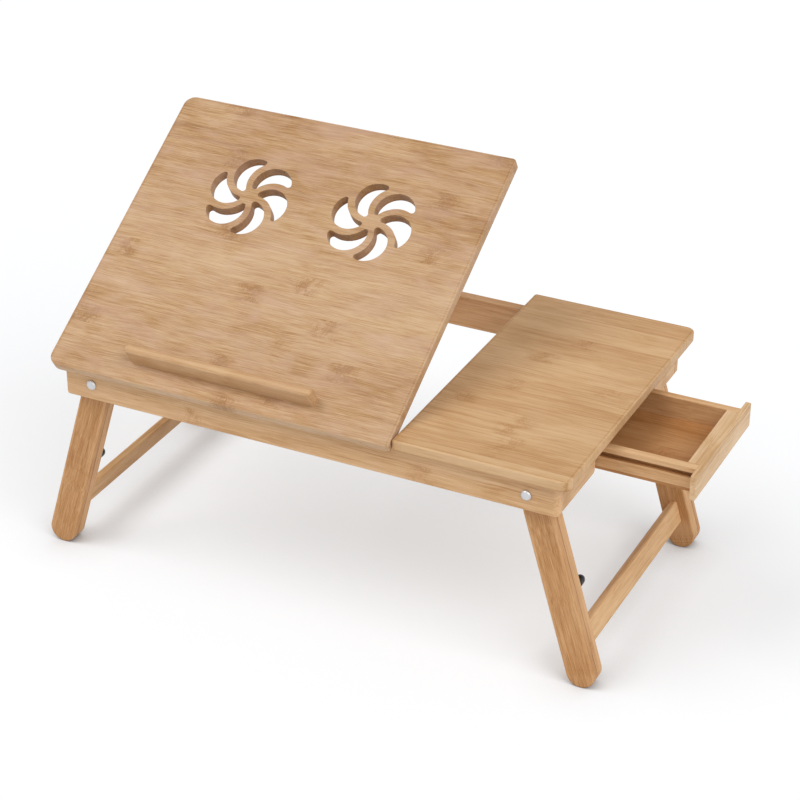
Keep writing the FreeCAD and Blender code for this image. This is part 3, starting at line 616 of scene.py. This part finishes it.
def brad_head(radius, height):
    """A brad's flat round head with a chamfered rim."""
    bpy.ops.object.select_all(action="DESELECT")
    bpy.ops.mesh.primitive_cylinder_add(vertices=16, radius=radius, depth=height, location=(0, 0, height / 2))
    head = bpy.context.object
    bpy.ops.object.transform_apply(location=True, rotation=True, scale=True)
    bpy.ops.object.mode_set(mode="EDIT")
    select_faces(head, lambda centre, normal: normal.z > 0.9)
    bpy.ops.mesh.bevel(offset=height * 0.4, segments=2)
    bpy.ops.object.mode_set(mode="OBJECT")
    return head


def scatter(head, name, places, material, body):
    """Copies of one head at several places, joined into a piece that rides on a body."""
    copies = []
    for place in places:
        mesh = head.data.copy()
        mesh.transform(place)
        copy = bpy.data.objects.new(name, mesh)
        bpy.context.collection.objects.link(copy)
        copies.append(copy)
    bpy.data.objects.remove(head)
    select_only(copies[0])
    for copy in copies:
        copy.select_set(True)
    bpy.ops.object.join()
    piece = bpy.context.object
    piece.name = name
    piece.data.materials.clear()
    piece.data.materials.append(material)
    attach(piece, body)
    return piece


def facing_down(x, y, z, turn=0.0):
    """A place, in millimetres, for a head that faces down, its recess turned a little at random."""
    return Matrix.Translation(Vector((x, y, z)) * MM) @ Matrix.Rotation(math.pi, 4, "X") @ Matrix.Rotation(
        turn, 4, "Z")


# radius, height and crown of each kind of head
BRACKET_SCREW = (2.8 * MM, 1.3 * MM, 1.0)
HINGE_SCREW = (2.0 * MM, 0.3 * MM, 0.2)
RUNNER_SCREW = (3.0 * MM, 1.3 * MM, 1.0)
BRAD = (1.1 * MM, 0.3 * MM)

# places of the heads in millimetres, from the ends and edges of what they hold
BRACKET_SCREW_EDGE = 4.5
HINGE_SCREW_EDGE = 4.6
HINGE_SCREW_STEPS = (7, 25, 43)
HINGE_SCREW_SUNK = 0.24
RUNNER_SCREW_END = 22
RUNNER_SCREW_EDGE = 4.5
BRAD_EDGE = 4
BRAD_FACE_EDGE = 5            # on the side of the drawer's face
BRAD_SUNK = 0.15
SIDE_BRADS = (0.06, 0.35, 0.65, 0.94)
END_BRADS = (0.35, 0.65)
RAISED = (TILT, 0, 0)


def bracket_screws(steel, size):
    """Pan heads under the two feet of the stay brackets."""
    (left, right), (near, far), (_, under) = extents("stay_brackets", RAISED)
    spots = [(x, y) for x in (left + size.bracket_foot * 0.6, right - size.bracket_foot * 0.6)
             for y in (near + BRACKET_SCREW_EDGE, far - BRACKET_SCREW_EDGE)]
    places = [Matrix.Rotation(TILT, 4, "X") @ facing_down(x, y, under - size.bracket_thickness, x + y)
              for x, y in spots]
    scatter(screw_head(*BRACKET_SCREW), "stay_bracket_screws", places, steel, "top_assembly")


def hinge_screws(steel):
    """Countersunk heads in the hinges' upper leaves."""
    (left, right), (_, far), _ = extents("hinge_upper_leaves", RAISED)
    under = extents("tilting_top", RAISED)[2][0]
    spots = [(end + way * step, far - HINGE_SCREW_EDGE) for end, way in ((left, 1), (right, -1))
             for step in HINGE_SCREW_STEPS]
    places = [Matrix.Rotation(TILT, 4, "X") @ facing_down(x, y, under + HINGE_SCREW_SUNK, x)
              for x, y in spots]
    scatter(screw_head(*HINGE_SCREW), "hinge_screws", places, steel, "top_assembly")


def runner_screws(steel):
    """Pan heads under the drawer runners."""
    spots = []
    for name, outer, way in (("front_drawer_runner", 0, 1), ("rear_drawer_runner", 1, -1)):
        (left, right), edges, (low, _) = extents(name, (0, 0, 0))
        y = edges[outer] + way * RUNNER_SCREW_EDGE
        spots += [(left + RUNNER_SCREW_END, y, low), (right - RUNNER_SCREW_END, y, low)]
    scatter(screw_head(*RUNNER_SCREW), "runner_screws",
            [facing_down(x, y, z, x * 0.7 + y) for x, y, z in spots], steel, "frame")


def drawer_brads(steel):
    """Brads that hold the drawer's bottom."""
    (left, right), (near, far), (low, _) = extents("drawer_bottom", (0, 0, 0))
    spots = [(left + (right - left) * at, y) for at in SIDE_BRADS
             for y in (near + BRAD_EDGE, far - BRAD_EDGE)]
    spots += [(x, near + (far - near) * at) for x in (left + BRAD_EDGE, right - BRAD_FACE_EDGE)
              for at in END_BRADS]
    scatter(brad_head(*BRAD), "drawer_brads", [facing_down(x, y, low + BRAD_SUNK) for x, y in spots], steel,
            "drawer")


class STAND_OT_fasteners(bpy.types.Operator):
    """Add the screw heads of hinges, stay brackets and runners, and the brads under the drawer"""
    bl_idname = "stand.fasteners"
    bl_label = "Screws and brads"

    def execute(self, context):
        steel = bpy.data.materials["plated_steel"]
        bracket_screws(steel, context.scene.fitting_look)
        hinge_screws(steel)
        runner_screws(steel)
        drawer_brads(steel)
        return {"FINISHED"}


# ---- stage ------------------------------------------------------------------------------------
def soft_light(name, towards, spread, strength):
    """A distant light that comes from one direction, spread out so that its shadows are soft."""
    bpy.ops.object.light_add(type="SUN", location=towards)
    light = bpy.context.object
    light.name = name
    light.data.energy = strength
    light.data.angle = math.radians(spread)
    light.rotation_euler = Vector(towards).to_track_quat("Z", "Y").to_euler()


def seen_directly(finish):
    """1 for what the camera sees, also in a reflection or through glass, and 0 for light on the stand."""
    rays = finish.node("LightPath").socket.node.outputs
    camera, glossy, through = [Wire(finish.tree, rays[key]) for key in
                               ("Is Camera Ray", "Is Glossy Ray", "Is Transmission Ray")]
    return camera.largest(glossy).largest(through)


def floor_finish(colour, whiteness):
    """A matt floor whose shadows the camera sees faded towards white, except close to the feet, where its
    colour is also darkened as a painted contact shadow.
    """
    finish = Finish("studio_floor")
    contact_shade_openness = finish.node("AmbientOcclusion", {"samples": 8}, output=1, Distance=0.06)
    # painted contact shadow: the floor's colour darkens where ambient occlusion finds the feet close by
    finish.set(Base_Color=finish.mix(contact_shade_openness, tuple(c * 0.45 for c in colour), colour), Roughness=0.95,
               Specular_IOR_Level=0.0)
    white = finish.node("Emission", Color=(1, 1, 1))
    faded = whiteness * (contact_shade_openness * 1.6 - 0.6).largest(0.0)
    mixed = finish.node("MixShader", Fac=seen_directly(finish) * faded)
    inputs = mixed.socket.node.inputs
    finish.tree.links.new(finish.shader.outputs[0], inputs[1])
    finish.tree.links.new(white.socket, inputs[2])
    finish.tree.links.new(mixed.socket, finish.tree.nodes["Material Output"].inputs["Surface"])
    return finish.material


def studio_sky(strength):
    """Even light from all round, which the camera sees as white."""
    world = bpy.data.worlds.new("studio")
    world.use_nodes = True
    sky = Sky(world)
    level = seen_directly(sky)
    connect(sky.tree, sky.shader.inputs["Strength"], strength + level * (1 - strength))
    connect(sky.tree, sky.shader.inputs["Color"], (1, 1, 1))
    return world


class STAND_OT_stage(bpy.types.Operator):
    """Set up the white floor, the lamps and the camera"""
    bl_idname = "stand.stage"
    bl_label = "Stage"

    def execute(self, context):
        stage = context.scene.stage_look
        bpy.ops.object.select_all(action="DESELECT")
        bpy.ops.mesh.primitive_plane_add(size=12, location=(0, 0, 0))
        floor = context.object
        floor.name = "studio_floor"
        floor.data.materials.append(floor_finish(stage.floor, stage.whiteness))
        soft_light("left_light", (-0.6, -0.42, 1.0), 34, stage.left_light)
        soft_light("right_light", (0.78, -0.35, 0.8), 44, stage.right_light)
        context.scene.world = studio_sky(stage.sky)
        bpy.ops.object.camera_add(location=stage.camera_place, rotation=stage.camera_turn)
        camera = context.object
        camera.name = "studio_camera"
        camera.data.lens = stage.lens
        camera.data.sensor_width = 36
        camera.data.clip_start = 0.05
        context.scene.camera = camera
        context.scene.view_settings.view_transform = "Standard"
        return {"FINISHED"}


# ---- panel and registration ---------------------------------------------------------------------
STEPS = (STAND_OT_stage, STAND_OT_tops, STAND_OT_table_frame, STAND_OT_drawer, STAND_OT_legs,
         STAND_OT_fittings, STAND_OT_fasteners)


class STAND_PT_panel(bpy.types.Panel):
    """Sidebar panel with the stand's settings and steps"""
    bl_idname = "STAND_PT_panel"
    bl_label = "Laptop Stand"
    bl_space_type = "VIEW_3D"
    bl_region_type = "UI"
    bl_category = "Laptop Stand"

    def draw(self, context):
        layout = self.layout
        for group in (context.scene.bamboo_look, context.scene.fitting_look, context.scene.stage_look):
            box = layout.box()
            for key in group.__annotations__:
                box.prop(group, key)
        for step in STEPS:
            layout.operator(step.bl_idname)


CLASSES = (BambooSettings, FittingSettings, StageSettings, STAND_PT_panel) + STEPS


def register():
    for cls in CLASSES:
        bpy.utils.register_class(cls)
    bpy.types.Scene.bamboo_look = PointerProperty(type=BambooSettings)
    bpy.types.Scene.fitting_look = PointerProperty(type=FittingSettings)
    bpy.types.Scene.stage_look = PointerProperty(type=StageSettings)


def unregister():
    del bpy.types.Scene.stage_look
    del bpy.types.Scene.fitting_look
    del bpy.types.Scene.bamboo_look
    for cls in reversed(CLASSES):
        bpy.utils.unregister_class(cls)


def main():
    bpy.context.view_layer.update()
    register()
    for step in STEPS:
        group, name = step.bl_idname.split(".")
        getattr(getattr(bpy.ops, group), name)()


if __name__ == "__main__":
    main()
